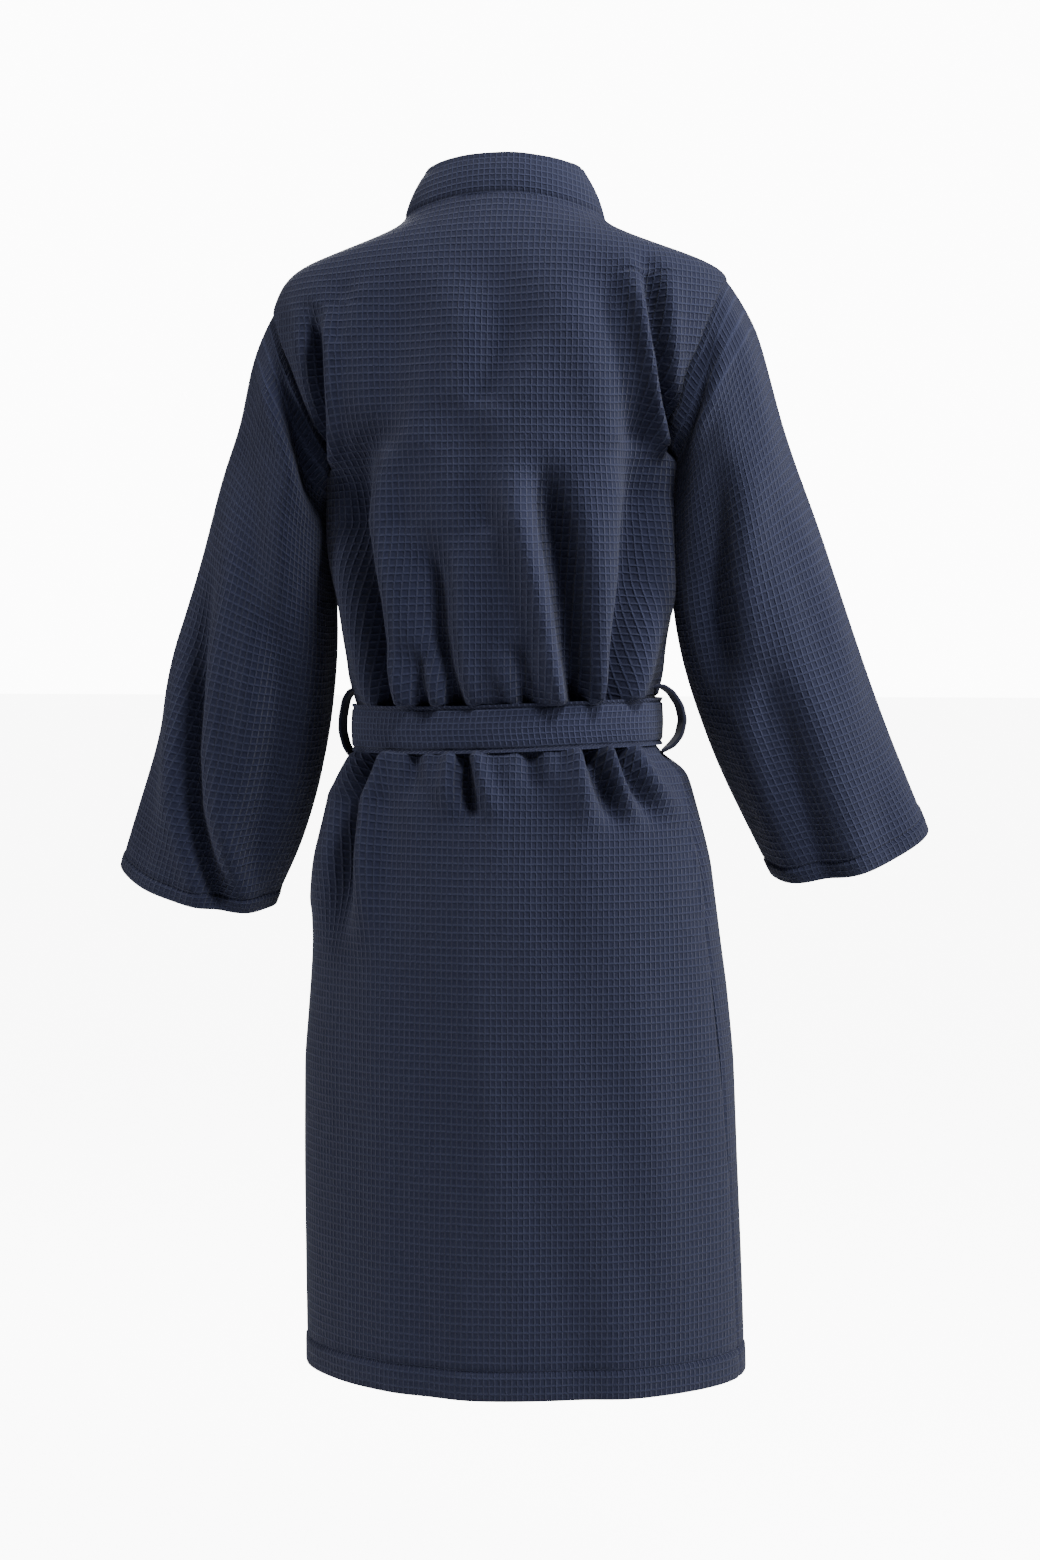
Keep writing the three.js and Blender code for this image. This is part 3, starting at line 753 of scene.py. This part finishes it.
def sleeve(side, name, body, seed):
    """A wide tube of cloth from its armhole to the stitched cuff."""
    ring = np.array(RINGS[side], float)
    at = np.linspace(0, 100, len(ring))
    soft = [profile(list(zip(at, ring[:, k])), 9) for k in range(7)]
    middles = (ring[:, [0, 1]] + ring[:, [2, 3]]) / 2
    gone = np.concatenate([[0], np.cumsum(np.linalg.norm(np.diff(middles, axis=0), axis=1))])
    length = gone[-1]
    down = marks(length, 4.4, [CUFF_HEM], fine=(0, 0.8, 2.5, 5.0))[::-1]
    down = length - down[::-1]
    v = np.interp(down, gone, at)
    around = np.linspace(-math.pi, math.pi, 105)
    t, phi = np.meshgrid(v, around, indexing="ij")
    ox, oz, ix, iz, forward, deep, tilt = (f(t) for f in soft)
    centre = np.stack([side * (ox + ix) / 2, -forward, (oz + iz) / 2], axis=-1)
    first = np.stack([side * (ox - ix) / 2, 0 * ox, (oz - iz) / 2], axis=-1)
    lean = np.radians(tilt)
    second = np.stack([0 * ox, deep * np.cos(lean), -deep * np.sin(lean)], axis=-1)
    turn = phi * side
    tube = centre + first * np.cos(turn)[..., None] + second * np.sin(turn)[..., None]
    # the seam end follows the armhole on the body
    hole = ARMHOLE[side]
    level = (hole["top"] + hole["low"]) / 2 + (hole["top"] - hole["low"]) / 2 * np.cos(turn)
    y = hole["deep"] * np.sin(turn)
    behind = np.arcsin(y / np.where(y > 0, BACK(level), FRONT(level)))
    angle = behind if side > 0 else math.pi - behind
    seam = figure(angle, level, drape(angle, level, 3) - 2.4)
    join = (1 - step(t, 0, 13))[..., None]
    p = tube + (seam - tube) * join
    way = normals(p)
    x, z = p[..., 0], p[..., 2]
    rear = step(np.sin(turn), -0.15, 0.25)
    off = np.zeros(x.shape)
    for path, width, depth, left, right, ends in SLEEVE_FOLDS[side]:
        off = off + rear * crease(x, z, path, width, depth, left, right, ends)
    for path, width, depth, left, right, ends in FRONT_SLEEVE_FOLDS:
        mirrored = [(side * a, b) for a, b in path]
        off = off + (1 - rear) * crease(x, z, mirrored, width, depth, left, right, ends)
    along = np.interp(t, at, gone)
    off = off + 1.5 * ripple(phi * 66, along, seed, 80)
    up = length - along
    off = off + 1.2 * (1 - step(up, CUFF_HEM - 2, CUFF_HEM + 1.5))
    off = off - 1.7 * bell(up, CUFF_HEM, 1.5)
    off = off * (1 - join[..., 0] * 0.9)
    p = p + way * off[..., None]
    p[:, -1] = p[:, 0]
    uv = np.stack([phi * 66, along], axis=-1)
    piece = cloth_piece(name + "_cloth", p, uv, SLEEVE, "waffle_sleeve", None, [name], "hung",
                        ["back_panel_cloth"], closed=True)
    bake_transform(piece)
    line = int(np.argmin(np.abs(up[:, 0] - CUFF_HEM)))
    seam_thread(name + "_cuff_stitching", p[line], normals(p)[line], body)


sleeve(1, "sleeve_left", "left_sleeve", 21)
sleeve(-1, "sleeve_right", "right_sleeve", 22)


# ---- belt ----
def ribbon(path, across, width, bulge=0.0, columns=9, spacing=3.5):
    """Grid and UV of a flat strip along a path; across are its sideways directions."""
    path, across = np.asarray(path, float), np.asarray(across, float)
    gone = np.concatenate([[0], np.cumsum(np.linalg.norm(np.diff(path, axis=0), axis=1))])
    at = np.linspace(0, gone[-1], max(8, int(gone[-1] / spacing)))
    soft = max(2.0, gone[-1] / 30)
    centre = np.stack([profile(list(zip(gone, path[:, k])), soft)(at) for k in range(3)], axis=1)
    side = unit(np.stack([np.interp(at, gone, across[:, k]) for k in range(3)], axis=1))
    wide = np.interp(at, np.linspace(0, gone[-1], len(width)), width)
    share = np.linspace(-0.5, 0.5, columns)
    p = centre[:, None] + side[:, None] * (wide[:, None] * share[None, :])[..., None]
    p = p + normals(p) * (bulge * (1 - 4 * share**2))[None, :, None]
    flat = max(width)
    uv = np.stack(np.meshgrid(share * flat, at), axis=-1)
    return p, uv


def belt_waist():
    """The flat run of the belt round the waist."""
    wide = BELT_HIGH - BELT_LOW
    up = marks(wide, 4, [3.5, wide - 3.5], fine=(0, 0.6, 1.6))
    turn = np.linspace(-math.pi / 2, 1.5 * math.pi, 300)
    s, angle = np.meshgrid(up, turn, indexing="ij")
    level = np.full(angle.shape, float(BELT_MIDDLE))
    out = 4.6 + 0.7 * ripple(angle * 116, s, 31, 120)
    out = out + 0.8 * bell(s, wide / 2, 12) - 1.7 * bell(s, 3.5, 1.2)
    out = out - 1.7 * bell(s, wide - 3.5, 1.2)
    p = figure(angle, level, out)
    p[..., 2] = belt_line(p[..., 0]) + s - wide / 2 + 0.6 * np.sin(angle * 3 + 1)
    uv = np.stack([arc(p, 0), s], axis=-1)
    cloth_piece("belt_waist_cloth", p, uv, BELT, "waffle_belt", ROOT, ["belt_waist"], "folded",
                ["back_panel_cloth", "front_panel_left_cloth"], thick=3.2)
    for label, height in (("low", 3.5), ("high", wide - 3.5)):
        row = int(np.argmin(np.abs(up - height)))
        seam_thread("belt_stitching_" + label, p[row], normals(p)[row], ROOT)


def belt_knot():
    """The wrap round the front of the belt, with the two ends that come out of it sideways."""
    loop = [(-2, -99, -449), (-2, -112, -441), (-1, -127, -444), (0, -136, -456),
            (1, -139, -470), (2, -134, -486), (2, -120, -496), (1, -104, -494)]
    across = [(1, 0, 0.06)] * len(loop)
    p, uv = ribbon(loop, across, [38, 34, 32, 33, 35, 38], bulge=2.5, columns=13, spacing=2.6)
    cloth_piece("belt_knot_cloth", p, uv, BELT, "waffle_belt", ROOT, ["belt_knot"], "folded",
                ["belt_waist_cloth"], thick=3.4, side=1.0)
    for side in (-1, 1):
        end = [(side * 52, -102, -467), (side * 36, -110, -466), (side * 22, -121, -467),
               (side * 9, -127, -469)]
        sway = [(0, 0.05, 1), (0, 0.0, 1), (0, -0.1, 1), (0, -0.1, 1)]
        p, uv = ribbon(end, sway, [42, 40, 33, 27], bulge=side * 5, columns=13, spacing=2.6)
        name = "belt_end_" + ("left" if side > 0 else "right")
        cloth_piece(name, p, uv, BELT, "waffle_belt", ROOT, [], "gathered", ["belt_waist_cloth"],
                    thick=3.2, side=0.0)


def belt_tail(side, name, body, length, seed):
    """A belt end hanging from the knot."""
    steps = np.linspace(0, 1, 16)
    x = side * (10 + 22 * steps**0.6 + 12 * steps)
    y = -122 - 7.5 * step(steps, 0, 0.12) - 2.2 * np.sin(steps * 7 + seed)
    z = -488 - length * steps
    path = np.stack([x, y, z], axis=1)
    sway = np.stack([np.ones(16), 0.16 * np.sin(steps * 5 + seed), -side * 0.09 + 0 * steps],
                    axis=1)
    p, uv = ribbon(path, sway, [25, 32, 39, 42, 42, 42, 42, 42, 42, 42], bulge=2.0, columns=13,
                   spacing=4)
    cloth_piece(name + "_cloth", p, uv, BELT, "waffle_belt", body, [name], "hung",
                ["belt_knot_cloth"], thick=3.2, side=0.0)
    for label, column in (("inner", 1), ("outer", 11)):
        seam_thread(name + "_stitching_" + label, p[6:, column], normals(p)[6:, column], body)


belt_waist()
belt_knot()
belt_tail(1, "belt_tail_left", "left_tail", 396, 0.4)
belt_tail(-1, "belt_tail_right", "right_tail", 372, 2.0)


# ---- belt loops and hanging loop ----
def belt_loop(side, name, path, twist):
    """A strip standing off the side seam; twist turns its flat side to the back."""
    across = [(0, 1, 0)] + [(side * twist, 1, 0)] * (len(path) - 2) + [(0, 1, 0)]
    p, uv = ribbon(path, across, [10.5, 10.5], columns=7, spacing=1.8)
    cloth_piece(name + "_cloth", p, uv, TAPE, "loop_strip", ROOT, [name], "folded",
                ["back_panel_cloth"], thick=3.2, side=0.0)


belt_loop(1, "belt_loop_left", [
    (136, 9, -436), (142, 9, -438), (147, 9, -446), (150, 9, -462), (150.5, 9, -474),
    (147, 9, -488), (142, 9, -496), (137, 9, -499)], 0.45)
belt_loop(-1, "belt_loop_right", [
    (-131, 10, -434), (-139, 10, -432), (-148, 10, -438), (-156, 10, -450), (-159, 10, -463),
    (-156, 10, -477), (-149, 10, -486), (-140, 10, -492)], 0.8)


def hanging_loop():
    """The loop of tape inside the neck, with its two sewn-down ends."""
    x, y, top, low = 27, 46.9, -2, -25.5
    path = [(-x, y, top), (-x, y, low + 9), (-x + 3, y, low + 3), (-x + 9, y, low),
            (0, y, low - 0.4), (x - 9, y, low), (x - 3, y, low + 3), (x, y, low + 9), (x, y, top)]
    p, uv = ribbon(path, [(0, 1, 0)] * len(path), [10, 10], columns=7, spacing=1.8)
    cloth_piece("hanging_loop_cloth", p, uv, TAPE, "loop_strip", "hanger", ["hanging_loop"],
                "folded", ["collar_nape_cloth"], thick=1.6, side=0.0)
    for side in (-1, 1):
        ends = [(side * x, y - 2, top - 0.5), (side * x, y + 4, top + 1), (side * x, y + 9, top + 2)]
        p, uv = ribbon(ends, [(1, 0, 0)] * 3, [10, 10], columns=7, spacing=1.8)
        name = "hanging_loop_end_" + ("left" if side > 0 else "right")
        cloth_piece(name, p, uv, TAPE, "loop_strip", ROOT, [], "folded", ["collar_nape_cloth"],
                    thick=1.6, side=0.0)


hanging_loop()


# ---- pocket bags ----
def pocket_bag(side, name):
    """A flat bag of two layers behind the front, from the mouth round its closed edge."""
    high, low = POCKET_HIGH + 6, POCKET_LOW - 78
    share = np.linspace(0, 1, 60)
    height = np.linspace(low, high, 46)
    z, u = np.meshgrid(height, share, indexing="ij")
    reach = 1 - np.abs(2 * u - 1)
    far = angle_at(side * 112.0, z)
    far = far if side > 0 else math.pi - far
    near = side_seam(side, z) + 0.02
    turn = lerp(-near, far, reach)
    angle = -turn if side > 0 else math.pi + turn
    x = figure(angle, z)[..., 0]
    round_end = step(reach, 0.985, 1.0)
    plump = np.sqrt(np.clip(1 - np.abs((z - (high + low) / 2) / ((high - low) / 2)) ** 8, 0, 1))
    half = 5.0 * plump * (1 - round_end) + 0.3
    layer_side = np.where(u < 0.5, 1.0, -1.0)
    sunk = under(x, z) * (np.sin(angle) < 0) if side < 0 else 0.0
    depth = -12.0 + layer_side * half - sunk
    p = figure(angle, z, depth)
    if side > 0:
        p = p[:, ::-1]
    uv = np.stack([np.abs(arc(p, 0)), z - low], axis=-1)
    cloth_piece(name + "_cloth", p, uv, LINING, "pocket_cloth", ROOT, [name], "hung",
                ["back_panel_cloth"], thick=0.8)


pocket_bag(1, "pocket_bag_left")
pocket_bag(-1, "pocket_bag_right")


# ---- floor, light, camera ----
def lamp(name, size, place, aim, power):
    light = bpy.data.lights.new(name, "AREA")
    light.shape = "RECTANGLE"
    light.size, light.size_y = size
    light.energy = power
    thing = bpy.data.objects.new(name, light)
    bpy.context.scene.collection.objects.link(thing)
    thing.location = place
    thing.rotation_euler = (Vector(aim) - Vector(place)).to_track_quat("-Z", "Y").to_euler()


def studio():
    bm = bmesh.new()
    bmesh.ops.create_grid(bm, x_segments=1, y_segments=1, size=30)
    mesh = bpy.data.meshes.new("floor")
    bm.to_mesh(mesh)
    bm.free()
    floor = bpy.data.objects.new("floor", mesh)
    floor.location = (0, 0, -1.42)
    bpy.context.scene.collection.objects.link(floor)
    pale = bpy.data.materials.new("pale floor")
    pale.use_nodes = True
    shader = pale.node_tree.nodes["Principled BSDF"]
    shader.inputs["Base Color"].default_value = colour("f4f4f4")
    shader.inputs["Roughness"].default_value = 0.9
    shader.inputs["Emission Color"].default_value = colour("ffffff")
    lit = add(pale.node_tree, "ShaderNodeLightPath").outputs["Is Camera Ray"]
    glow = sums(pale.node_tree, "MULTIPLY", lit, 9.0)
    pale.node_tree.links.new(glow, shader.inputs["Emission Strength"])
    floor.data.materials.append(pale)
    world = bpy.data.worlds.new("studio")
    bpy.context.scene.world = world
    world.use_nodes = True
    tree = world.node_tree
    sky = tree.nodes["Background"]
    sky.inputs[0].default_value = colour("ffffff")
    # a bright white sweep behind, which lights the cloth much less than it shows
    seen = add(tree, "ShaderNodeLightPath").outputs["Is Camera Ray"]
    tree.links.new(sums(tree, "MULTIPLY_ADD", seen, 12.0, 0.09), sky.inputs[1])
    lamp("key", (0.45, 0.45), (-1.1, 1.15, 1.5), (0, 0, -0.3), 108)
    lamp("right side", (0.35, 1.0), (-2.2, 0.3, 0.5), (-0.2, 0, -0.3), 80)
    lamp("left side", (0.35, 1.0), (2.2, 0.4, 0.5), (0.2, 0, -0.3), 52)
    lamp("front", (0.8, 0.8), (0.7, -2.2, 0.9), (0, 0, -0.5), 60)


def camera():
    lens = bpy.data.cameras.new("camera")
    lens.sensor_fit = "VERTICAL"
    lens.sensor_height = 36
    lens.lens = 63.7
    eye = bpy.data.objects.new("camera", lens)
    bpy.context.scene.collection.objects.link(eye)
    aim = Vector((-0.011, 0, -0.519))
    turn, lift = math.radians(187), math.radians(3.6)
    back_off = Vector((math.sin(turn) * math.cos(lift), -math.cos(turn) * math.cos(lift),
                       math.sin(lift)))
    eye.location = aim + back_off * 2.505
    eye.rotation_euler = (-back_off).to_track_quat("-Z", "Y").to_euler()
    bpy.context.scene.camera = eye


studio()
camera()
